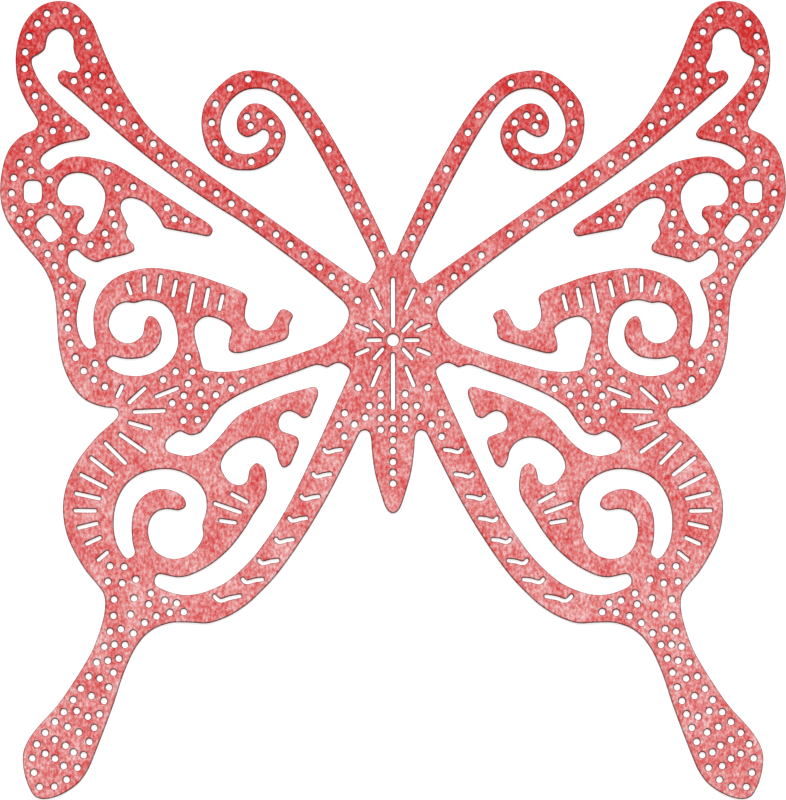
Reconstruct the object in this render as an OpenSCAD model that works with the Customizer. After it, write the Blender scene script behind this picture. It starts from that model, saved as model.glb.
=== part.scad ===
// Flat die-cut paper butterfly, made from one sheet of thin card.
// X runs across the wings, Y runs from the tails to the antennae, Z is up.
// The origin is the centre of the thorax hole, on the underside of the card.
// Every outline is drawn for the right side (X > 0), and mirrored for the left.

/* [Sheet] */
// Width over the forewings
span = 112.3; // [100:0.1:150]
// Thickness of the card
thickness = 0.35; // [0.2:0.05:0.6]

/* [Creases] */
// Distance of each wing crease from the centre line
wing_crease = 6.1; // [6.05:0.01:6.15]
// Distance from the centre hole to the antenna creases
antenna_crease = 13.3; // [13.2:0.1:13.7]

/* [Holes] */
// Diameter of the centre hole
centre_hole_d = 1.64; // [1.2:0.02:1.8]
// Diameter of each pinhole
pinhole_d = 0.88; // [0.6:0.02:1]
// Width of each straight slit
slit_w = 0.5; // [0.4:0.02:0.8]
// Width of the slit along the middle of the thorax
middle_slit_w = 0.56; // [0.4:0.02:0.8]
// Width of each rippled slit in the hindwing strip
ripple_w = 0.5; // [0.4:0.02:0.7]

/* [Smoothness] */
// Degrees that a curve turns in one straight step
bend_step = 10; // [6:1:20]
// Straight steps in the round end of a slit
cap_steps = 6; // [4:1:12]

/* [Hidden] */

drawn_span = 112.3;
size = span / drawn_span;
card_red = [0.87, 0.43, 0.45];
body_red = [0.83, 0.36, 0.39];
antenna_red = [0.80, 0.27, 0.31];

// Outer edge, from the notch between the antennae to the end of the abdomen
antenna_edge = [
    [0, 12.2], [0.45, 12.55], [1.05, 14], [3, 18.1], [6, 24.15], [9.3, 30], [12, 34], [13.9, 36.1],
    [16.15, 37.8], [18.7, 38.45], [21, 38.55], [23.05, 37.8], [25, 36.2], [26.8, 34], [27.4, 31],
    [26.6, 27.4], [25.1, 25.5], [22.85, 24.4], [21.2, 24.25], [19.5, 24.4], [16.95, 25.75], [15.5, 28.1],
    [15.4, 30.15], [16.75, 32.35], [19, 33.8], [20.8, 33.6], [22.25, 31.7], [22.1, 29.8], [20.9, 29],
    [19.45, 29.5], [18.6, 30.05], [17.85, 29.65], [17.95, 28.3], [19.35, 27], [21.8, 26.7], [23.65, 27.75],
    [24.6, 29.8], [24.35, 32.15], [23.1, 34.3], [21.1, 35.7], [18.2, 35.8], [16.05, 34.7], [14.15, 32.55],
    [12, 29.2], [9.1, 24.05], [6.05, 18.15], [3.1, 12.2]];
shoulder_edge = [
    [2.6, 11], [2.5, 10.3], [2.9, 9.6], [3.25, 8.85], [3.55, 8.4], [4.05, 8.15], [5, 8.6]];
forewing_edge = [
    [7, 10], [13.4, 14.5], [19, 18.5], [25, 22.75], [31.9, 27.8], [33.95, 29.5], [35.9, 31.7],
    [38.9, 36.35], [40.9, 40.4], [42.85, 45.2], [44, 46.8], [46, 48.3], [49, 48.35], [51.1, 47.25],
    [53, 44.7], [53.95, 40.5], [53.5, 36.6], [52.3, 33.9], [51, 31.8], [50.75, 31.1], [51.1, 30.25],
    [53, 29.3], [55, 27.1], [56.1, 22.9], [56, 19.5], [55, 16.8], [52.95, 13.95], [50.1, 10.55], [48.5, 7],
    [48.1, 3.9], [47.85, -0.1], [47.05, -3.95], [45.3, -7.3], [43.55, -8.8], [41.2, -9.6], [39.65, -9.8],
    [39.25, -10.5]];
hindwing_edge = [
    [39.7, -11.35], [42, -13.4], [44, -15.7], [45.85, -18.6], [47.05, -22.2], [47.1, -25.5],
    [46.25, -28.8], [43.8, -33.1], [41.5, -35.95], [41.15, -37.6], [41.6, -40.45],
    [43.3, -44.95], [46.3, -49.8], [48.1, -52.3], [50.1, -54.5], [51.95, -56.8], [52.9, -59.15],
    [52.65, -62.1], [51.7, -64.55], [50.95, -65.35], [49.75, -65.6], [47.4, -64.95],
    [44.75, -63.1], [43.15, -60.5], [41.4, -55.95], [39.95, -52.1], [38.65, -48.1],
    [37.4, -45.1], [35.75, -42.55], [33.75, -41.05], [31.25, -40.35], [28.5, -40.4],
    [27.15, -40.5], [25.85, -40.35], [22.9, -39.15], [19.95, -37], [16.6, -33.5], [12.9, -28.3],
    [9.65, -22.9], [6.55, -16.9], [4.9, -13.5]];
abdomen_edge = [
    [4.6, -13.1], [4.05, -12.9], [3.55, -13.05], [3.2, -13.65], [3.05, -15.7], [2.6, -18.95],
    [1.65, -22.3], [0.8, -24.3], [0, -24.75]];

// Large opening in the forewing
forewing_opening = [
    [47.5, 44.5], [48.45, 44.3], [49.3, 43.45], [49.8, 41.55], [50.6, 40.85], [51.55, 40.25], [51.5, 39.2],
    [50.4, 36.9], [48.9, 34.95], [46, 32.1], [43.85, 30.45], [43.3, 29.5], [43.6, 28.9], [45, 28.5],
    [47, 28.1], [49, 27.2], [50.3, 26], [50.2, 25.15], [49.2, 24.4], [48.3, 24.9], [47, 25.9], [45, 26.3],
    [42, 25.9], [39.45, 25.1], [36, 22.9], [32, 20.3], [28.1, 17.8], [26.4, 16.7], [25.75, 15.75],
    [26.25, 14.9], [28, 15.1], [31.5, 15.75], [32.7, 16.1], [33.3, 17.2], [34.1, 18.35], [35.1, 19.35],
    [36.1, 19.95], [37.6, 20.3], [38.65, 19.85], [38.9, 18.75], [38.4, 17.5], [37.9, 16.4], [38.15, 15.5],
    [37.8, 14.5], [37.05, 13.7], [37, 12.85], [38.25, 12.2], [41, 11.6], [42.3, 11.15], [43.85, 11.75],
    [45.3, 12.85], [46.15, 12.45], [46.45, 11.2], [46, 9.95], [45, 9.15], [44, 8.6], [43.85, 8.1],
    [44.7, 6.05], [45.2, 3], [44.9, 1.05], [44.2, -0.5], [43.3, -1.2], [42.5, -0.6], [42.7, 0.85],
    [42.85, 2.95], [42.6, 5], [41.65, 7.05], [39.9, 8.8], [37.5, 9.9], [34.5, 10.35], [31.5, 10.05],
    [28, 9.3], [24.05, 7.95], [21.6, 6.95], [20.8, 6.1], [21.05, 4.7], [21.1, 3.1], [20.3, 1.8],
    [18.8, 1.4], [17.5, 2], [16.8, 3.25], [16.1, 4.3], [15.6, 4.45], [14.5, 3.9], [14.3, 3.4], [14.8, 2.25],
    [14.85, 1], [15.25, 0.2], [17.45, -0.65], [20.45, -1.5], [22.3, -1.9], [23.4, -1.45], [23.5, -0.3],
    [23.1, 1.6], [23.75, 2.35], [25.25, 3.1], [26.85, 3.3], [28.1, 2.35], [28.35, 0.8], [27.6, -2],
    [27.25, -3.6], [26.95, -4.1], [26.2, -4.35], [24, -4.5], [22, -4.3], [19.5, -3.7], [15, -2.4],
    [10.05, -0.65], [8, 0.7], [6.65, 2.5], [6.35, 4], [6.85, 5.15], [8.1, 6.35], [11.1, 8.95],
    [15.05, 12.05], [21.5, 16.75], [25.1, 19], [30, 22.3], [34.05, 25.3], [38.1, 28.6], [42, 32],
    [44.1, 33.8], [46.15, 35.65], [47.6, 36.75], [47.95, 37.8], [47.2, 38.6], [46, 38.3], [45.15, 38.4],
    [44.75, 39.3], [45.3, 40.3], [45.7, 41.8], [45.7, 43], [46.45, 44.1]];

// Comma-shaped opening in the forewing's fan
fan_opening = [
    [45, 23.9], [46.7, 23.45], [47.8, 22], [47.85, 20.6], [47.1, 19.5], [46.5, 19.3], [45, 19.25],
    [44.3, 18.85], [44.15, 17.75], [44.9, 16.85], [45.1, 15.8], [44.1, 15.1], [43.1, 15.55], [42, 17.35],
    [41.25, 19.5], [41.25, 21.3], [42.3, 22.9], [43.05, 23.45]];
// Windows in the forewing's fan: [centre, size, turn]
fan_windows = [
    [[51.48, 21.2], [2.5, 3.1], 0],
    [[49.15, 15.95], [2.6, 3.6], -36.3]];
window_corner_r = 0.8;

// Curled opening in the forewing, above the waist
forewing_curl = [
    [35, 5.7], [33.05, 5.25], [31.6, 3.8], [30.9, 1.55], [30.8, -0.8], [31.7, -2.75], [33.55, -4.25],
    [36, -5.05], [38.7, -4.85], [40.5, -3.9], [40.85, -3.1], [40.1, -2.35], [38.8, -2.6], [37.5, -2.7],
    [35.1, -2.25], [33.4, -0.55], [33.05, 1.4], [33.8, 3], [34.8, 3.5], [35.4, 2.75], [35.85, 0.75],
    [37.2, -0.3], [38.6, -0.3], [39.9, 0.55], [40.6, 2.2], [40.2, 3.95], [39.2, 5.05], [38, 5.4], [37, 5.3],
    [35.8, 5.6]];

// Long opening between the forewing and the hindwing, and around the hindwing's scroll
wing_channel = [
    [6.2, -4.3], [6.75, -6], [9.05, -11], [13, -19.65], [16, -25.35], [18.95, -29.7], [20.4, -31.45],
    [22, -33.05], [23.7, -34.45], [25.45, -35.4], [28, -36.25], [30.3, -36.35], [32.25, -35.85],
    [33.9, -34.95], [34, -34], [33.45, -33.45], [32.6, -33.55], [30.85, -33.9], [29, -33.6], [25.8, -31.9],
    [23, -29.4], [21.05, -26.8], [19.95, -24.95], [18.65, -23.05], [18.05, -21.55], [18.05, -19.75],
    [18.45, -18.2], [19.5, -17.55], [20.4, -18.3], [20.95, -20.2], [22, -20.7], [23.3, -20.25],
    [24.35, -18.85], [24.6, -18], [24.45, -17.2], [24, -16.3], [23.1, -15.35], [21.25, -14.2],
    [19.2, -13.95], [17.6, -14.65], [16.7, -15.85], [16.4, -17.15], [15.7, -18.2], [14.75, -17.8],
    [14.1, -16.5], [13.45, -14.85], [13.65, -13.9], [14.8, -13.35], [15.95, -12.9], [16.35, -11.85],
    [15.85, -10.6], [14.8, -10.15], [13.8, -10.5], [12.8, -11.15], [11.9, -10.8], [11.3, -9.35],
    [10.7, -7.9], [10.8, -6.95], [11.35, -6.65], [12.7, -6.95], [15.4, -7.7], [18.4, -8.9], [21.15, -10.1],
    [23, -11.6], [25, -14], [27.1, -15.8], [29.1, -16.5], [31.05, -16.27], [32.4, -15.6], [32.4, -14.5],
    [31.5, -13.6], [30.45, -13.05], [29.45, -13.45], [28.75, -13.6], [27.35, -13.1], [25.8, -11],
    [25, -9.85], [24, -9.05], [22.05, -7.85], [18.1, -6.1], [13.4, -4.4], [10.95, -3.55], [10.05, -3.7],
    [9.4, -3.9], [8.5, -3.45], [7.7, -3.25], [6.65, -3.75]];

// Curled opening in the hindwing
hindwing_curl = [
    [37.75, -31.15], [36.95, -30.5], [37.25, -28.75], [37.35, -25.9], [36.65, -23.4], [35.2, -21.9],
    [33.35, -21.25], [31.4, -21.5], [29.9, -22.5], [29.6, -23.65], [30.5, -24.3], [32.4, -24.15],
    [33.85, -24.6], [34.8, -25.95], [34.9, -28], [34, -30.05], [32.2, -31.1], [30.25, -31.1], [28.35, -30],
    [27.2, -28.1], [27.25, -26.3], [26.7, -24.35], [26.85, -22.05], [28.05, -20.2], [30, -18.95],
    [32, -18.45], [34.3, -18.6], [36.35, -19.25], [38.25, -20.8], [39.5, -23.25], [39.9, -25.9],
    [39.6, -28.6], [38.7, -30.5], [38.25, -31]];

// Pinholes in the body: beside the slits, and down the middle of the abdomen
body_pinholes = [
    [1.69, 12.25], [5.05, 5.65], [4.95, -6.8], [1.75, -7.7], [1.75, -9.45], [3.4, -9.4],
    [1.75, -11.2], [3.95, -11.05], [1.75, -12.8], [5.5, -12.04]];
abdomen_pinhole_first = -11.2;
abdomen_pinhole_pitch = 1.55;
abdomen_pinholes = 7;

// Pinholes along the antenna, from its foot round to the middle of its curl
antenna_pinholes = [
    [2.8, 14.6], [3.85, 16.85], [5, 19.15], [6.35, 21.7], [7.65, 24.4], [9.2, 27.25],
    [10.7, 29.65], [12.2, 32.15], [14.15, 34.6], [16.85, 36.7], [20.7, 37.3], [23.3, 36],
    [25.35, 33.75], [25.9, 31.05], [25.4, 28.15], [23.55, 26.1], [20.25, 25.5], [17.5, 26.9],
    [16.5, 29.25], [17.4, 31.1], [19.1, 32.1], [20.9, 31.9], [20.35, 30.6]];

// Pinholes along the forewing's front strip, up to its tip and back down its outer margin
front_strip_pinholes = [
    [6.75, 7.45], [8.75, 9.05], [10.5, 10.4], [12.65, 12.1], [16.7, 15.1], [19, 16.65],
    [21.1, 18.15], [23.1, 19.5], [25.2, 20.95], [27.2, 22.35], [29.15, 23.8], [31.15, 25.1],
    [33.3, 26.25], [34.25, 28.05], [36.15, 28.7], [36.85, 30.55], [38.6, 31.1], [39.1, 33.05],
    [41.1, 33.4], [40.6, 35.6], [43.65, 35.7], [41.55, 37.7], [43.6, 37.85], [45.6, 37.05],
    [42.65, 40.05], [43.55, 42], [44.3, 44.05], [45.2, 45.8], [46.8, 47]];
margin_pinholes = [
    [49.45, 46.65], [50.8, 45.25], [52, 43.4], [52.55, 41.15], [52.65, 38.8], [52.05, 36.75],
    [51.15, 34.9], [49.85, 33.2], [48.1, 31.7], [46.45, 30.2], [48.6, 29.9], [50.4, 28.65],
    [52.1, 27.1], [53.3, 25.25], [51.7, 24.2], [54.2, 23.2], [49.05, 22.85], [54.5, 21],
    [54.2, 18.8], [53.35, 17.2], [51.8, 18.15], [52.25, 15.4], [50.85, 13.8], [49.35, 12.3],
    [48.3, 10.55], [47.35, 8.5], [45.7, 7.7], [46.65, 6.2], [46.6, 3.8], [46.45, 1.7],
    [46.1, -0.5], [45.35, -2.5], [42.55, -3.4], [44.2, -4.4], [42.7, -5.65], [41.15, -6.65]];
fan_pinholes = [
    [40.8, 24.1], [37.1, 21.9], [39.35, 21.7], [32.3, 18.9], [31.25, 17.3], [29.45, 17.1],
    [40.15, 18.15], [39.75, 16.45], [41.15, 15.25], [40.8, 13.5], [43.25, 13.6], [45.6, 14.2],
    [47.4, 13.25], [46.55, 17.9], [48.95, 19.2]];
// Cluster of pinholes between the forewing's openings and the channel
cluster_pinholes = [
    [21.5, -5.75], [23.1, -6.95], [24.6, -5.8], [26.7, -5.75], [25.3, -7.85], [27.5, -7.65],
    [28.65, -4.5], [29.3, -2.45], [31.05, -4.5], [29.3, -6.25], [32.85, -5.65], [29.9, -7.95],
    [26.8, -9.5], [29.1, -9.5], [31.55, -9], [27.9, -11.4], [29.95, -11.5]];
// The left front strip has one pinhole more than the right
left_extra_pinhole = [14.67, 13.66];

// Pinholes at the top of the hindwing strip, across its lower edge and down the tail
strip_top_pinholes = [[6.9, -10.45], [7.75, -12.15], [6.95, -13.8]];
lower_edge_pinholes = [
    [38.4, -32.4], [40.45, -32.3], [36.75, -34.2], [38.7, -34.75], [40.75, -34.5],
    [34.6, -36.2], [32.6, -37.2], [37, -36.9], [39.85, -37.05], [34.9, -37.75],
    [30.9, -37.6], [29.9, -38.85], [31.9, -38.95], [33.8, -39.45], [37.5, -39.2],
    [39.95, -39.4], [35.5, -40.4]];
tail_pinholes = [
    [38.9, -41.3], [40.45, -41.65], [37.1, -41.9], [38.3, -43.55], [39.8, -43.5],
    [41.25, -43.8], [39.2, -45.5], [40.75, -45.8], [42.35, -46.05], [39.95, -47.5],
    [41.9, -48.35], [43.5, -48.05], [40.6, -49.6], [44.6, -49.8], [43.1, -50.85],
    [41.3, -51.55], [45.7, -51.4], [45.2, -53], [47.05, -53.15], [41.95, -53.45],
    [43.6, -53.8], [48.3, -54.55], [46.5, -55.25], [42.7, -55.4], [44.9, -56.05],
    [49.7, -56.1], [48.3, -57.1], [43.4, -57.4], [46.8, -57.95], [50.9, -57.75],
    [45.65, -58.9], [44.2, -59.3], [49.7, -59.1], [48.3, -59.8], [51.55, -59.75],
    [47.05, -60.85], [45.1, -61.1], [51.3, -61.8], [46.65, -62.8], [48.4, -63.8],
    [50.5, -63.85]];

// Slits as [centre of one round end, centre of the other]
middle_slits = [[[0, 8.65], [0, 2.08]], [[0, -2.15], [0, -9.65]]];
thorax_slits = [
    [[3, 7.1], [1.85, 4.6]], [[2.65, 2.6], [1.45, 1.35]], [[5.15, 2.05], [3.6, 1.4]],
    [[1.85, 0], [3.55, 0]], [[3.6, -1.35], [5.15, -2]], [[1.5, -1.3], [2.65, -2.6]],
    [[1.9, -3.95], [2.95, -6.45]]];
vein_slits = [
    [[24.35, 6.3], [24.8, 4.45]], [[26.4, 7.25], [26.9, 4.85]], [[28.55, 7.95], [29.3, 4.15]],
    [[31, 8.4], [31.45, 6.4]], [[33.15, 9.1], [33.5, 6.95]], [[35.55, 8.95], [35.5, 7.1]],
    [[37.95, 8.05], [37.5, 6.7]]];
waist_slits = [
    [[39.4, -8], [38.7, -6.6]], [[37.7, -8.9], [35.5, -6.9]], [[33.8, -8.05], [30.85, -6.9]],
    [[32.75, -10.1], [36.9, -10.25]], [[34.7, -12.65], [37.6, -11.8]]];
rib_slits = [
    [[35.5, -15.95], [38.95, -13.5]], [[38.3, -17.55], [41.05, -14.75]],
    [[40.1, -19.2], [43.1, -16.85]], [[41.05, -21.05], [44.55, -19.25]],
    [[42, -22.65], [45.25, -21.9]], [[42.6, -24.4], [45.4, -24.35]],
    [[42.35, -26.2], [44.9, -26.8]], [[41.9, -28.25], [43.75, -29.1]],
    [[40.85, -30.35], [42.1, -31.4]]];
scroll_slits = [
    [[20.95, -23.1], [23, -22]], [[21.85, -24.6], [25.4, -23.35]], [[22.6, -26.1], [24.6, -25.8]]];

// Rippled slits down the hindwing strip: [inner end, length against the first one's]
ripples = [
    [[7.4, -15.65], 1], [[8.95, -19.15], 1], [[10.65, -22.35], 1], [[12.4, -25.45], 1],
    [[14.3, -28.5], 1], [[16.5, -31.5], 1.08], [[18.7, -34.2], 1.14]];
ripple_shape = [[0, 0], [0.95, -0.12], [1.7, -0.34], [2.15, -0.29], [2.42, 0.02]];
last_ripple = [[21.9, -36.6], [23.3, -36.85], [24.6, -37.25], [25.15, -37], [25.5, -36.6]];

// Dividing lines, drawn through the gaps between the parts
antenna_top = 42;
antenna_side = 29;
strip_top = 11.5;
waist_y = -11.2;
antenna_gap = [
    [8, antenna_crease], [16, 20], [24, 23.2], [antenna_side, 27], [antenna_side, antenna_top]];
wing_gap = [
    [wing_crease, -4.4], [9, -5.3], [16, -6.6], [20, -8.2], [24, -11], [27.2, -14.5],
    [32, -15.4], [40, waist_y]];
beyond = 80;

// Curves -------------------------------------------------------------------

function unit(v) = v / norm(v);

// Angle between two directions
function turn(u, v) = acos(max(-1, min(1, unit(u) * unit(v))));

// Slope of a curve at b, which comes from a and goes on to c
function slope(a, b, c) =
    let (before = sqrt(norm(b - a)), after = sqrt(norm(c - b)))
    (b - a) / before - (c - a) / (before + after) + (c - b) / after;

// Points of a smooth curve from b up to c, as part of a curve through a, b, c and d
function stretch(a, b, c, d) =
    let (reach = sqrt(norm(c - b)),
        leave = reach * slope(a, b, c),
        arrive = reach * slope(b, c, d),
        steps = max(1, ceil((turn(leave, c - b) + turn(c - b, arrive)) / bend_step)))
    [for (k = [0 : steps - 1])
        let (t = k / steps)
        b * (2 * t ^ 3 - 3 * t ^ 2 + 1) + leave * (t ^ 3 - 2 * t ^ 2 + t)
            + c * (3 * t ^ 2 - 2 * t ^ 3) + arrive * (t ^ 3 - t ^ 2)];

// Smooth closed curve through the points
function closed_curve(points) =
    let (n = len(points))
    [for (i = [0 : n - 1])
        each stretch(points[(i + n - 1) % n], points[i], points[(i + 1) % n], points[(i + 2) % n])];

// Smooth open curve through the points
function open_curve(points) =
    let (n = len(points),
        path = concat([2 * points[0] - points[1]], points, [2 * points[n - 1] - points[n - 2]]))
    concat([for (i = [1 : n - 1]) each stretch(path[i - 1], path[i], path[i + 1], path[i + 2])],
        [points[n - 1]]);

function reversed(points) = [for (i = [len(points) - 1 : -1 : 0]) points[i]];

// A half edge that starts and ends on the centre line, made whole
function both_sides(half) =
    concat(half, [for (i = [len(half) - 2 : -1 : 1]) [-half[i][0], half[i][1]]]);

// Direction of a path at its point i
function heading(path, i) = unit(path[min(i + 1, len(path) - 1)] - path[max(i - 1, 0)]);

function sideways(v) = [-v[1], v[0]];

// Half circle round the end of a path that points along the direction
function cap(centre, direction, r) =
    let (start = atan2(direction[1], direction[0]) + 90)
    [for (k = [0 : cap_steps])
        let (a = start - 180 * k / cap_steps)
        centre + r * [cos(a), sin(a)]];

// Outline of a slit of width w with round ends, along a path
function slit_outline(path, w) =
    let (last = len(path) - 1, r = w / 2)
    concat([for (i = [1 : 1 : last - 1]) path[i] + r * sideways(heading(path, i))],
        cap(path[last], heading(path, last), r),
        [for (i = [last - 1 : -1 : 1]) path[i] - r * sideways(heading(path, i))],
        cap(path[0], -heading(path, 0), r));

// Shapes -------------------------------------------------------------------

module shape(points) polygon(size * points);

module hole(centre, d) translate(size * centre) circle(d = d, $fn = 32);

module pinholes(centres) for (centre = centres) hole(centre, pinhole_d);

module slits(ends, w = slit_w) for (pair = ends) shape(slit_outline(pair, w));

module ripple_slits() {
    for (ripple = ripples)
        shape(slit_outline(open_curve([for (p = ripple_shape) ripple[0] + ripple[1] * p]), ripple_w));
    shape(slit_outline(open_curve(last_ripple), ripple_w));
}

// Rectangle with four round corners
module window(centre, size_xy, angle) {
    reach = size_xy / 2 - [window_corner_r, window_corner_r];
    corners = [[1, 1, 0], [-1, 1, 90], [-1, -1, 180], [1, -1, 270]];
    outline = [for (corner = corners, k = [0 : cap_steps / 2])
        let (a = corner[2] + 180 * k / cap_steps)
        [corner[0] * reach[0] + window_corner_r * cos(a),
            corner[1] * reach[1] + window_corner_r * sin(a)]];
    translate(size * centre) rotate(angle) shape(outline);
}

module both() {
    children();
    mirror([1, 0]) children();
}

whole_edge = closed_curve(both_sides(
    concat(antenna_edge, shoulder_edge, forewing_edge, hindwing_edge, abdomen_edge)));

// The part of the uncut sheet that lies within a region
module blank(region) intersection() {
    shape(whole_edge);
    shape(region);
}

module card() linear_extrude(thickness) children();

// Regions of the sheet -----------------------------------------------------

body_region = [
    [-wing_crease, antenna_crease], [wing_crease, antenna_crease],
    [wing_crease, -beyond], [-wing_crease, -beyond]];
antenna_region = concat([[0, antenna_crease]], antenna_gap, [[0, antenna_top]]);
forewing_region = concat(
    [[wing_crease, strip_top]], antenna_gap,
    [[antenna_side, beyond], [beyond, beyond], [beyond, waist_y]],
    reversed(wing_gap));
hindwing_region = concat(wing_gap, [[beyond, waist_y], [beyond, -beyond], [wing_crease, -beyond]]);

// Sub-parts ----------------------------------------------------------------

// Head, thorax and abdomen, between the two wing creases
module body_panel() color(body_red) card() difference() {
    blank(body_region);
    hole([0, 0], centre_hole_d);
    slits(middle_slits, middle_slit_w);
    both() pinholes(body_pinholes);
    both() slits(thorax_slits);
    pinholes([for (i = [0 : abdomen_pinholes - 1])
        [0, abdomen_pinhole_first - i * abdomen_pinhole_pitch]]);
}

module right_antenna() color(antenna_red) card() difference() {
    blank(antenna_region);
    pinholes(antenna_pinholes);
}

module left_antenna() mirror([1, 0, 0]) right_antenna();

module forewing(extra_pinholes = []) color(card_red) card() difference() {
    blank(forewing_region);
    shape(closed_curve(wing_channel));
    shape(closed_curve(forewing_opening));
    shape(closed_curve(fan_opening));
    shape(closed_curve(forewing_curl));
    for (w = fan_windows) window(w[0], w[1], w[2]);
    pinholes(concat(front_strip_pinholes, margin_pinholes, fan_pinholes, cluster_pinholes));
    pinholes(extra_pinholes);
    slits(concat(vein_slits, waist_slits));
}

module right_forewing() forewing();

module left_forewing() mirror([1, 0, 0]) forewing([left_extra_pinhole]);

module right_hindwing() color(card_red) card() difference() {
    blank(hindwing_region);
    shape(closed_curve(wing_channel));
    shape(closed_curve(hindwing_curl));
    pinholes(concat(strip_top_pinholes, lower_edge_pinholes, tail_pinholes));
    slits(concat(rib_slits, scroll_slits));
    ripple_slits();
}

module left_hindwing() mirror([1, 0, 0]) right_hindwing();

body_panel();
left_forewing();
right_forewing();
left_hindwing();
right_hindwing();
left_antenna();
right_antenna();
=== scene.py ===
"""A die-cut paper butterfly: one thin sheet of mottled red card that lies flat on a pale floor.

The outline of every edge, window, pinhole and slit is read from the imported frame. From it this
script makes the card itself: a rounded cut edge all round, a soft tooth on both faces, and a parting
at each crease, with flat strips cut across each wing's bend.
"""

import math

import bmesh
import bpy
import numpy as np
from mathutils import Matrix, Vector, kdtree, noise
from mathutils.geometry import delaunay_2d_cdt


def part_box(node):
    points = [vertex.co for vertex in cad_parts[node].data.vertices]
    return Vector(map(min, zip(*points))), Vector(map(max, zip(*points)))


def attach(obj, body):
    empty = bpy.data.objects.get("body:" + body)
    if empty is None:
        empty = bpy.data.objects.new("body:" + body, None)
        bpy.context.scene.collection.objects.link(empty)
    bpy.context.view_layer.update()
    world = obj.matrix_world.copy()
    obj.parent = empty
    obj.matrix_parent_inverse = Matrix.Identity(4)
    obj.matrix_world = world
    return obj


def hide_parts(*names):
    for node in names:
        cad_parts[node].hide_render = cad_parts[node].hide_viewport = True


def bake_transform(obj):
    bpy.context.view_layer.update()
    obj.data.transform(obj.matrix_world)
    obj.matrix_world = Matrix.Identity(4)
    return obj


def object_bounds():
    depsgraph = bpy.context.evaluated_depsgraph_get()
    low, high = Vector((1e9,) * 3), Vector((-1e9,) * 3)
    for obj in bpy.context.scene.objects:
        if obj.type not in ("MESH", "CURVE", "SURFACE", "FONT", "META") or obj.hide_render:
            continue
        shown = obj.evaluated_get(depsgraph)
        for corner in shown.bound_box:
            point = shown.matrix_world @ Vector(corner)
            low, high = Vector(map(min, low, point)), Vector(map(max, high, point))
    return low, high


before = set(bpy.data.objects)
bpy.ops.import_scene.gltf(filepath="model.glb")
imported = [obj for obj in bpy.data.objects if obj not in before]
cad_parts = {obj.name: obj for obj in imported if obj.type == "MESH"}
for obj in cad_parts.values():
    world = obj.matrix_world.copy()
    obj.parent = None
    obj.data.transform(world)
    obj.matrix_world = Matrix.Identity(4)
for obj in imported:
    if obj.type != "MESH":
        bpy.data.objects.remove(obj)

MM = 0.001
MICRON = 1e-6
SAME = 0.1 * MICRON  # places this close count as one
TINY = 1e-9  # keeps a division from failing
CAD_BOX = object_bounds()

# The card's top face and creases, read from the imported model. Its underside is at height 0.
BODY_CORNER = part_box("body_panel")[1]
TOP = BODY_CORNER.z
WING_CREASE = BODY_CORNER.x
ANTENNA_CREASE = BODY_CORNER.y

# The cut edge.
EDGE_WIDTH = 0.24 * MM  # how far the rounding reaches in over the top face
TOP_ROUND = 0.29 * MM  # how far it reaches down from the top face
BOTTOM_ROUND = 0.05 * MM  # how far it reaches up from the underside
TOP_ANGLES = (22, 45, 68, 90)  # degrees round the top rounding, from the flat face to the wall
BOTTOM_ANGLES = (90, 45)  # degrees round the bottom one, from the wall to the underside
TIP_SHARE = 0.7  # the rounding's width at a tip, as a share of the tip's own radius, if that is less
TIP_SPREAD = 3  # how many points beside a tip narrow with it
SHARPEST = 0.75  # the least cosine of half a corner's turn that the rounding makes up for
RIM_POWER = 0.6  # how soon the painted shade on the cut edge darkens on its way out

# The outline's spacing.
STRAIGHT = math.radians(0.5)  # a point with less turn than this isn't a bend
MOST_TURN = math.radians(17)  # how much close bends may turn together before one is kept
CLOSEST = 0.05 * MM  # no two kept bends are closer than this
SHORT = 0.30 * MM  # bends further apart than this are all kept
LONGEST_EDGE = 0.9 * MM
FLATNESS = 0.010 * MM  # how far a straight step may lie from the curve

# The faces.
GRID = 0.85 * MM  # from point to point along a row
ROW_STEP = 0.87 * GRID  # from row to row, for triangles with nearly equal sides
GRID_CLEAR = 0.32 * MM  # no inner point is nearer the rounding than this
TOOTH = 0.012 * MM  # the most that the tooth dips into either face
TOOTH_CELLS = 0.7 / MM  # cells of tooth in a metre
UNDERSIDE = Vector((0, 0, 7.5))  # where the underside's tooth is taken from, apart from the top's
HULL_TRIANGLES = 0  # the triangulation's own code for triangles over the whole convex hull
MERGE_WITHIN = 0.001 * MICRON

# The creases.
WING_BEND = 1.0 * MM  # how far from its crease a wing is bent
WING_STRIPS = 6  # flat strips across that bend
CUT_REACH = 3.0 * MM  # how far from a crease the faces to be cut there can lie
NEAR = 8.0 * MM  # the antenna creases lie this near the middle line


# ---------------------------------------------------------------- outlines


def top_edges(solid):
    """The edges round a CAD node's top face, each with the card on its left, in whole microns."""
    mesh = solid.data
    mesh.calc_loop_triangles()
    points = [(round(v.co.x / MICRON), round(v.co.y / MICRON), v.co.z) for v in mesh.vertices]
    edges = set()
    for triangle in mesh.loop_triangles:
        corners = [points[i] for i in triangle.vertices]
        if any(abs(c[2] - TOP) > SAME for c in corners):
            continue
        for k in range(3):
            join(edges, corners[k][:2], corners[(k + 1) % 3][:2])
    return edges


def join(edges, start, end):
    """Adds an edge, or takes out a neighbour's, which runs the other way along the same line."""
    if (end, start) in edges:
        edges.remove((end, start))
    else:
        edges.add((start, end))


def crease_at(point, within):
    """The crease that a point is on: "left wing", "right wing", "antenna" or none."""
    if abs(abs(point[0]) - WING_CREASE) < within and point[1] < ANTENNA_CREASE:
        return "left wing" if point[0] < 0 else "right wing"
    if abs(point[1] - ANTENNA_CREASE) < within and abs(point[0]) < NEAR:
        return "antenna"
    return None


def along_crease(start, end, within):
    """Whether both points are on one crease."""
    crease = crease_at(start, within)
    return crease is not None and crease == crease_at(end, within)


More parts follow.
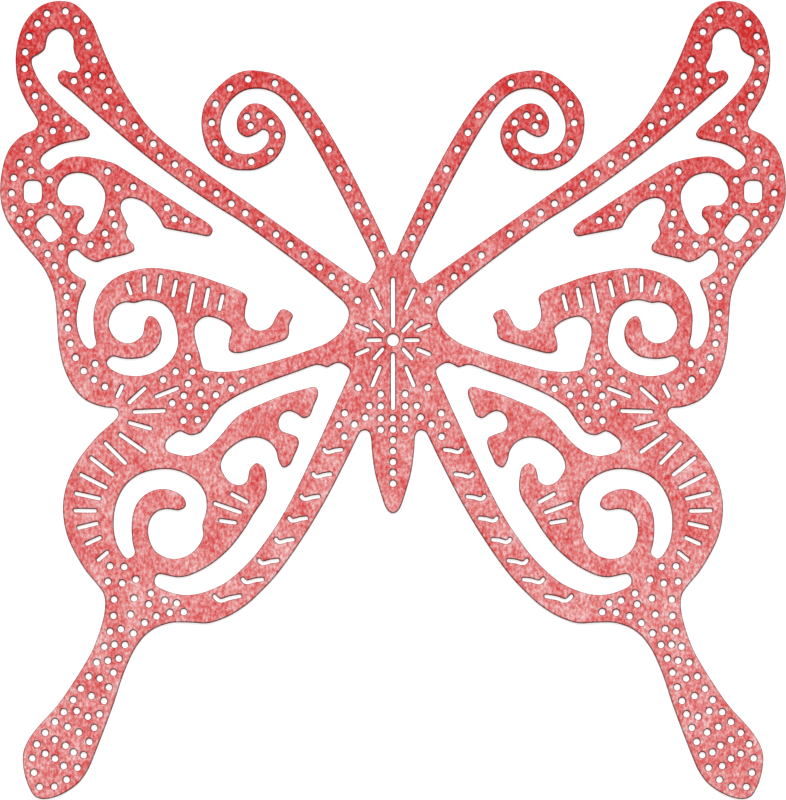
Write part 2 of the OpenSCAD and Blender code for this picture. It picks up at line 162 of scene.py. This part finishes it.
def sheet_edges():
    """The edges of the whole sheet: those of every node, without the ones where two nodes meet."""
    edges = set()
    for name in sorted(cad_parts):
        for start, end in top_edges(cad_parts[name]):
            places = [[c * MICRON for c in point] for point in (start, end)]
            if not along_crease(*places, MICRON):
                join(edges, start, end)
    return edges


def loops_of(edges):
    """The edges joined into closed loops of points, in metres."""
    after = dict(sorted(edges))
    loops = []
    while after:
        first = min(after)
        loop, point = [], first
        while point in after:
            loop.append([c * MICRON for c in point])
            point = after.pop(point)
        if point != first:
            raise ValueError("an outline isn't closed")
        loops.append(np.array(loop))
    return loops


def turns(loop):
    """The angle by which the loop turns at each point."""
    ahead = np.roll(loop, -1, axis=0) - loop
    behind = loop - np.roll(loop, 1, axis=0)
    cross = behind[:, 0] * ahead[:, 1] - behind[:, 1] * ahead[:, 0]
    return np.arctan2(cross, (behind * ahead).sum(1))


def bends_of(loop):
    """The loop's points where it bends, and of those that lie close only as many as it needs."""
    bend = np.abs(turns(loop))
    start = int(np.argmax(bend))
    kept, turned = [], 0.0
    for k in np.roll(np.arange(len(loop)), -start):
        turned += bend[k]
        if not kept:
            kept.append(k)
            turned = 0.0
            continue
        apart = np.linalg.norm(loop[k] - loop[kept[-1]])
        if bend[k] > STRAIGHT and apart > CLOSEST and (turned > MOST_TURN or apart > SHORT):
            kept.append(k)
            turned = 0.0
    return loop[kept]


def smoothed(loop):
    """A smooth closed curve through the loop's bends, with points no denser than it needs."""
    points = bends_of(loop)
    after = np.roll(points, -1, axis=0)
    heading = after - np.roll(points, 1, axis=0)
    heading /= np.linalg.norm(heading, axis=1)[:, None]
    turn = np.abs(turns(points))
    found = []
    for k in range(len(points)):
        following = (k + 1) % len(points)
        length = np.linalg.norm(after[k] - points[k])
        curve = (turn[k] + turn[following]) / 2
        bulge = length * curve / 8
        by_curve = math.ceil(math.sqrt(bulge / FLATNESS))
        steps = max(1, by_curve, math.ceil(length / LONGEST_EDGE))
        leave, arrive = length * heading[k], length * heading[following]
        for t in np.arange(steps) / steps:
            near_start = points[k] * (2 * t**3 - 3 * t**2 + 1) + leave * (t**3 - 2 * t**2 + t)
            near_end = after[k] * (3 * t**2 - 2 * t**3) + arrive * (t**3 - t**2)
            found.append(near_start + near_end)
    return np.array(found)


def inward(loop):
    """Each point's step into the card: one edge width from both edges, and less at a tight tip."""
    ahead = np.roll(loop, -1, axis=0) - loop
    length = np.linalg.norm(ahead, axis=1)
    ahead /= length[:, None]
    left = np.stack([-ahead[:, 1], ahead[:, 0]], axis=1)
    both = left + np.roll(left, 1, axis=0)
    size = np.linalg.norm(both, axis=1)
    half_cosine = np.clip(size / 2, SHARPEST, 1)
    radius = (length + np.roll(length, 1)) / 2 / np.maximum(turns(loop), TINY)
    width = np.minimum(EDGE_WIDTH, TIP_SHARE * radius)
    for _ in range(TIP_SPREAD):
        width = np.minimum(width, (np.roll(width, 1) + np.roll(width, -1)) / 2)
    return both * (width / half_cosine / np.maximum(size, TINY))[:, None]


# ---------------------------------------------------------------- the sheet


def grid_points(rims):
    """Points over the flat of the card, in rows shifted by half a step, clear of its rims."""
    tree = kdtree.KDTree(len(rims))
    for i, (x, y) in enumerate(rims):
        tree.insert((x, y, 0), i)
    tree.balance()
    low, high = CAD_BOX
    rows = int((high.y - low.y) / ROW_STEP) + 1
    columns = int((high.x - low.x) / GRID) + 1
    found = []
    for row in range(rows):
        for column in range(columns):
            x = low.x + (column + 0.5 * (row % 2)) * GRID
            y = low.y + row * ROW_STEP
            distance = tree.find((x, y, 0))[2]
            if distance > GRID_CLEAR:
                found.append((x, y))
    return found


def filled(points, rings):
    """The points and triangles of the card inside its rings, and which point each given one became."""
    edges = [(ring[k], ring[(k + 1) % len(ring)]) for ring in rings for k in range(len(ring))]
    made, _, faces, origin, _, _ = delaunay_2d_cdt(
        [Vector(p) for p in points], edges, [], HULL_TRIANGLES, MERGE_WITHIN, True
    )
    place = {}
    for i, several in enumerate(origin):
        for k in several:
            place[k] = i
    border = {(place[a], place[b]) for a, b in edges}
    owner, inside = {}, []
    for f, face in enumerate(faces):
        for k in range(3):
            edge = (face[k], face[(k + 1) % 3])
            owner[edge] = f
            if edge in border:
                inside.append(f)
    reached = set(inside)
    while inside:
        face = faces[inside.pop()]
        for k in range(3):
            a, b = face[k], face[(k + 1) % 3]
            beyond = owner.get((b, a))
            blocked = (a, b) in border or (b, a) in border
            if beyond is not None and beyond not in reached and not blocked:
                reached.add(beyond)
                inside.append(beyond)
    return [tuple(p) for p in made], [faces[f] for f in sorted(reached)], place


def whole_sheet():
    """The card as one mesh, before it is parted at its creases."""
    loops = [smoothed(loop) for loop in loops_of(sheet_edges())]
    points, rings, steps = [], [], []
    for loop in loops:
        step = inward(loop)
        rings.append(list(range(len(points), len(points) + len(loop))))
        points.extend(map(tuple, loop + step))
        steps.extend(step)
    points += grid_points(points)
    flat, faces, place = filled(points, rings)

    sheet = bmesh.new()
    # rim: how far round the cut edge each point lies, which sets the painted shade there
    rim = sheet.verts.layers.float.new("rim")
    ringed = {place[k] for ring in rings for k in ring}
    upper, lower = {}, {}
    for i in sorted({i for face in faces for i in face}):
        x, y = flat[i]
        at = Vector((x, y, 0)) * TOOTH_CELLS
        upper[i] = sheet.verts.new((x, y, TOP - (0 if i in ringed else tooth(at))))
        lower[i] = sheet.verts.new((x, y, 0 if i in ringed else tooth(at + UNDERSIDE)))
    for a, b, c in faces:
        sheet.faces.new((upper[a], upper[b], upper[c]))
        sheet.faces.new((lower[c], lower[b], lower[a]))
    for ring in rings:
        lines = []
        for k in ring:
            i = place[k]
            lines.append([upper[i], *edge_points(sheet, rim, flat[i], steps[k]), lower[i]])
        join_lines(sheet, lines)
    for face in sheet.faces:
        face.smooth = True
    return sheet


def tooth(at):
    """How deep the tooth is at a place in its noise."""
    return TOOTH * (0.5 + 0.5 * noise.noise(at))


def edge_points(sheet, rim, inner, step):
    """The points of one line round the cut edge, from below the top face to above the underside."""
    turned = [(angle, TOP, -TOP_ROUND) for angle in TOP_ANGLES]
    turned += [(angle, 0, BOTTOM_ROUND) for angle in BOTTOM_ANGLES]
    found = []
    for angle, face_height, radius in turned:
        out = math.sin(math.radians(angle))
        height = face_height + radius * (1 - math.cos(math.radians(angle)))
        point = sheet.verts.new((inner[0] - step[0] * out, inner[1] - step[1] * out, height))
        # the rim value sets how much painted shade the cut edge gets here
        point[rim] = out**RIM_POWER
        found.append(point)
    return found


def join_lines(sheet, lines):
    """The faces of the cut edge between the lines of one ring, with a crisp start at either face."""
    for k, here in enumerate(lines):
        there = lines[(k + 1) % len(lines)]
        for a, b, c, d in zip(here, there, there[1:], here[1:]):
            sheet.faces.new((b, a, d, c))
        for end in (0, -1):
            sheet.edges.get((here[end], there[end])).smooth = False


def cut(sheet, place, normal, near):
    """Cuts the sheet's faces along a plane, where near(face middle) is true."""
    faces = [f for f in sheet.faces if near(f.calc_center_median())]
    parts = dict.fromkeys(faces)
    for face in faces:
        parts.update(dict.fromkeys([*face.edges, *face.verts]))
    bmesh.ops.bisect_plane(sheet, geom=list(parts), plane_co=place, plane_no=normal, dist=SAME)


def part_at_creases(sheet):
    """Cuts the sheet at its creases and along the strips of each wing bend, and parts it there."""
    for side in (-1, 1):
        for k in range(WING_STRIPS + 1):
            x = WING_CREASE + WING_BEND * k / WING_STRIPS
            cut(
                sheet, (side * x, 0, 0), (1, 0, 0),
                lambda c: c.y < ANTENNA_CREASE and abs(c.x - side * WING_CREASE) < CUT_REACH,
            )
    cut(
        sheet, (0, ANTENNA_CREASE, 0), (0, 1, 0),
        lambda c: abs(c.x) < NEAR and abs(c.y - ANTENNA_CREASE) < CUT_REACH,
    )
    creased = [e for e in sheet.edges if along_crease(*(v.co for v in e.verts), 2 * SAME)]
    bmesh.ops.split_edges(sheet, edges=creased)


def islands(sheet):
    """The connected parts of the sheet, as lists of faces."""
    seen = set()
    found = []
    for start in sheet.faces:
        if start in seen:
            continue
        seen.add(start)
        group = [start]
        for face in group:
            for edge in face.edges:
                fresh = [f for f in edge.link_faces if f not in seen]
                seen.update(fresh)
                group.extend(fresh)
        found.append(group)
    return found


def piece_name(faces):
    """Which piece a connected part of the sheet is, by where it reaches."""
    xs = [f.calc_center_median().x for f in faces]
    ys = [f.calc_center_median().y for f in faces]
    if min(xs) < 0 < max(xs):
        return "body_paper"
    side = "left" if max(xs) < 0 else "right"
    part = "antenna" if min(ys) > ANTENNA_CREASE else "wing"
    return f"{side}_{part}_paper"


def made_pieces():
    """One object for each connected part of the parted sheet, by its name."""
    sheet = whole_sheet()
    part_at_creases(sheet)
    names = []
    for number, faces in enumerate(islands(sheet)):
        names.append(piece_name(faces))
        for face in faces:
            face.material_index = number
    whole = bpy.data.meshes.new("sheet")
    sheet.to_mesh(whole)
    sheet.free()
    pieces = {name: made_piece(name, whole, number) for number, name in enumerate(names)}
    bpy.data.meshes.remove(whole)
    return pieces


def made_piece(name, whole, number):
    """An object of the sheet's faces that carry this number."""
    part = bmesh.new()
    part.from_mesh(whole)
    others = [face for face in part.faces if face.material_index != number]
    bmesh.ops.delete(part, geom=others, context="FACES")
    for face in part.faces:
        face.material_index = 0
    mesh = bpy.data.meshes.new(name)
    part.to_mesh(mesh)
    part.free()
    keep_places(mesh)
    return linked(name, mesh)


def keep_places(mesh):
    """Stores where each point lies on the flat sheet, so that its look stays put as it bends."""
    flat = np.zeros(len(mesh.vertices) * 3, np.float32)
    mesh.vertices.foreach_get("co", flat)
    mesh.attributes.new("sheet_mm", "FLOAT_VECTOR", "POINT").data.foreach_set("vector", flat / MM)


def linked(name, data):
    """A new object in the scene."""
    made = bpy.data.objects.new(name, data)
    bpy.context.scene.collection.objects.link(made)
    return made


# ---------------------------------------------------------------- the card's look

# The card's tones, from its deepest red to its palest pink, as green levels of 0 to 255. Blue is the
# same as green, and red follows from it.
TONES = (30, 66, 102, 138, 174, 210)
DEEPEST, PALEST = TONES[0], TONES[-1]
RED_AT_ZERO, RED_PER_GREEN = 200, 0.214

# How pale the card is up its height: (millimetres, green level).
FADE = (
    (-66, 136), (-44, 140), (-23, 131), (-1.4, 129), (12.9, 118), (27.2, 98), (41.5, 78), (50, 66),
)

# Each layer of noise: its cells a millimetre across and up, its detail, roughness and own place.
MOTTLE = ((2.7, 1.75), 3.0, 0.62, 0.0)
CLOUDS = ((0.34, 0.24), 2.0, 0.5, 40.0)
FIBRES = ((9.0, 3.2), 4.0, 0.6, 90.0)
MOTTLE_DEPTH = 1.85  # how far the mottle moves the tone, where 1 is from deepest to palest
CLOUD_DEPTH = 0.62

EDGE_SHADE_TINT = (0.17, 0.19, 0.19, 1)  # what the colour is multiplied by for painted shade along the cut edge
EDGE_SHADE_RANGE = (0.7, 1.0)  # how much of the painted edge shade shows, from one fibre to the next
ROUGHNESS_RANGE = (0.78, 0.95)
CARD_SPECULAR = 0.25
FIBRE_HEIGHT = 0.6  # beside the mottle's own height of 1
BUMP_STRENGTH = 0.35
BUMP_DEPTH = 0.03 * MM


def linear(level):
    """A 0 to 255 sRGB level as linear light."""
    c = level / 255
    return c / 12.92 if c <= 0.04045 else ((c + 0.055) / 1.055) ** 2.4


def tone_share(green):
    """Where a green level lies between the deepest tone and the palest."""
    return (green - DEEPEST) / (PALEST - DEEPEST)


def plain_material(name):
    """A new material and its shader."""
    material = bpy.data.materials.new(name)
    material.use_nodes = True
    return material, material.node_tree.nodes["Principled BSDF"]


def node(tree, kind, inputs=None, **settings):
    """A new node with these settings, and links or values for its inputs."""
    made = tree.nodes.new(kind)
    for key, value in settings.items():
        setattr(made, key, value)
    for key, value in (inputs or {}).items():
        if isinstance(value, bpy.types.NodeSocket):
            tree.links.new(value, made.inputs[key])
        else:
            made.inputs[key].default_value = value
    return made


def ramp(tree, factor, stops):
    """A colour ramp with its (position, colour) stops."""
    made = node(tree, "ShaderNodeValToRGB", {"Fac": factor})
    elements = made.color_ramp.elements
    while len(elements) < len(stops):
        elements.new(0.5)
    for element, (position, colour) in zip(elements, stops):
        element.position = position
        element.color = (*colour, 1)
    return made.outputs["Color"]


def maths(tree, operation, *values):
    """The result of a maths node."""
    return node(tree, "ShaderNodeMath", dict(enumerate(values)), operation=operation).outputs[0]


def spread(tree, value, lowest, highest):
    """A value of 0 to 1, moved to lie between the lowest and the highest."""
    limits = {"Value": value, "To Min": lowest, "To Max": highest}
    return node(tree, "ShaderNodeMapRange", limits).outputs[0]


def pattern(tree, place, stretch, detail, roughness, shift):
    """One layer of noise over the card."""
    at = node(
        tree, "ShaderNodeMapping",
        {"Vector": place, "Scale": (*stretch, 1), "Location": (shift, shift, shift)},
    ).outputs[0]
    made = node(
        tree, "ShaderNodeTexNoise",
        {"Vector": at, "Scale": 1.0, "Detail": detail, "Roughness": roughness},
    )
    return made.outputs["Fac"]


def faded(tree, place):
    """The card's mean tone up its height."""
    height = node(tree, "ShaderNodeSeparateXYZ", {0: place}).outputs["Y"]
    low, high = FADE[0][0], FADE[-1][0]
    limits = {"Value": height, "From Min": low, "From Max": high}
    share = node(tree, "ShaderNodeMapRange", limits).outputs[0]
    return ramp(tree, share, [((y - low) / (high - low), (tone_share(g),) * 3) for y, g in FADE])


def dyed(tree, tone):
    """The card's colour for a tone."""
    stops = []
    for green in TONES:
        red = RED_AT_ZERO + RED_PER_GREEN * green
        stops.append((tone_share(green), (linear(red), linear(green), linear(green))))
    return ramp(tree, tone, stops)


def edge_shaded(tree, colour, fibres):
    """The colour, with painted shade darkening it towards the cut edge."""
    rim = node(tree, "ShaderNodeAttribute", attribute_name="rim").outputs["Fac"]
    share = maths(tree, "MULTIPLY", rim, spread(tree, fibres, *EDGE_SHADE_RANGE))
    # A colour mix has its factor at socket 0, its colours at 6 and 7, and its result at 2.
    inputs = {0: share, 6: colour, 7: EDGE_SHADE_TINT}
    mixed = node(tree, "ShaderNodeMix", inputs, data_type="RGBA", blend_type="MULTIPLY")
    return mixed.outputs[2]


def card(name):
    """Mottled red card: blotches of dye drawn out up the sheet, fibres, and painted shade along the
    cut edge.
    """
    material, shader = plain_material(name)
    tree = material.node_tree
    place = node(tree, "ShaderNodeAttribute", attribute_name="sheet_mm").outputs["Vector"]
    mottle = pattern(tree, place, *MOTTLE)
    clouds = pattern(tree, place, *CLOUDS)
    fibres = pattern(tree, place, *FIBRES)

    level = -0.5 * (MOTTLE_DEPTH + CLOUD_DEPTH)
    tone = maths(tree, "MULTIPLY_ADD", mottle, MOTTLE_DEPTH, level)
    tone = maths(tree, "ADD", tone, maths(tree, "MULTIPLY", clouds, CLOUD_DEPTH))
    tone = maths(tree, "ADD", tone, faded(tree, place))
    colour = edge_shaded(tree, dyed(tree, tone), fibres)
    tree.links.new(colour, shader.inputs["Base Color"])

    relief = maths(tree, "ADD", maths(tree, "MULTIPLY", fibres, FIBRE_HEIGHT), mottle)
    settings = {"Height": relief, "Strength": BUMP_STRENGTH, "Distance": BUMP_DEPTH}
    bump = node(tree, "ShaderNodeBump", settings).outputs["Normal"]
    tree.links.new(bump, shader.inputs["Normal"])
    tree.links.new(spread(tree, fibres, *ROUGHNESS_RANGE), shader.inputs["Roughness"])
    shader.inputs["Specular IOR Level"].default_value = CARD_SPECULAR
    return material


# ---------------------------------------------------------------- the pieces and their card


def dress(piece, slot, material, *nodes):
    """Gives a piece its card and hides the CAD nodes that it stands for. Its slot is not used."""
    piece.data.materials.clear()
    piece.data.materials.append(material)
    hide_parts(*nodes)


def place_pieces():
    """Every piece with its card, and the body piece on the thorax body; the wings and antennae lie
    flat.
    """
    pieces = made_pieces()
    cards = {slot: card(f"mottled_{slot}") for slot in ("body_card", "wing_card", "antenna_card")}
    dress(pieces["body_paper"], "body_card", cards["body_card"], "body_panel")
    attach(pieces["body_paper"], "thorax")
    for side, sign in (("left", -1), ("right", 1)):
        wing = pieces[f"{side}_wing_paper"]
        dress(wing, "wing_card", cards["wing_card"], f"{side}_forewing", f"{side}_hindwing")
        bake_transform(wing)
        antenna = pieces[f"{side}_antenna_paper"]
        dress(antenna, "antenna_card", cards["antenna_card"], f"{side}_antenna")
        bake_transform(antenna)


# ---------------------------------------------------------------- the floor, the light and the camera

WHITE = (1, 1, 1, 1)
FLOOR_DROP = 0.01 * MM  # how far the floor lies under the card
FLOOR_RADIUS = 4.0
FLOOR_SIDES = 96
FLOOR_GREY = (0.45, 0.45, 0.45, 1)
FLOOR_ROUGHNESS = 0.9
FLOOR_SPECULAR = 0.1
FLOOR_GLOW = 0.78
SUN_ELEVATION = math.radians(33)
SUN_SPREAD = math.radians(26)
SUN_STRENGTH = 4.35
SKY_STRENGTH = 0.26
LENS = 200.0  # millimetres, on a sensor of SENSOR millimetres
SENSOR = 36.0
LONG_SIDE_SPAN = 114.29 * MM  # what the picture's long side takes in, on the card's top face


def make_floor():
    """A pale floor with a soft glow, so that it stays near white right up to the card."""
    mesh = bpy.data.meshes.new("floor")
    disc = bmesh.new()
    bmesh.ops.create_circle(disc, cap_ends=True, segments=FLOOR_SIDES, radius=FLOOR_RADIUS)
    disc.to_mesh(mesh)
    disc.free()
    floor = linked("floor", mesh)
    floor.location.z = -FLOOR_DROP
    material, shader = plain_material("pale_floor")
    shader.inputs["Base Color"].default_value = FLOOR_GREY
    shader.inputs["Roughness"].default_value = FLOOR_ROUGHNESS
    shader.inputs["Specular IOR Level"].default_value = FLOOR_SPECULAR
    shader.inputs["Emission Color"].default_value = WHITE
    shader.inputs["Emission Strength"].default_value = FLOOR_GLOW
    mesh.materials.append(material)


def make_light():
    """A broad soft light from beyond the antennae, and an even sky."""
    lamp = bpy.data.lights.new("studio", "SUN")
    lamp.energy = SUN_STRENGTH
    lamp.angle = SUN_SPREAD
    studio = linked("studio", lamp)
    studio.rotation_euler = (SUN_ELEVATION - math.pi / 2, 0, 0)
    world = bpy.data.worlds.new("sky")
    world.use_nodes = True
    sky = world.node_tree.nodes["Background"]
    sky.inputs["Color"].default_value = WHITE
    sky.inputs["Strength"].default_value = SKY_STRENGTH
    bpy.context.scene.world = world
    bpy.context.scene.view_settings.view_transform = "Standard"


def make_camera():
    """A camera straight above the card, with the antennae at the top of the picture."""
    low, high = CAD_BOX
    optics = bpy.data.cameras.new("camera")
    optics.lens = LENS
    optics.sensor_width = SENSOR
    camera = linked("camera", optics)
    distance = LONG_SIDE_SPAN * LENS / SENSOR
    camera.location = ((low.x + high.x) / 2, (low.y + high.y) / 2, TOP + distance)
    bpy.context.scene.camera = camera


place_pieces()
make_floor()
make_light()
make_camera()
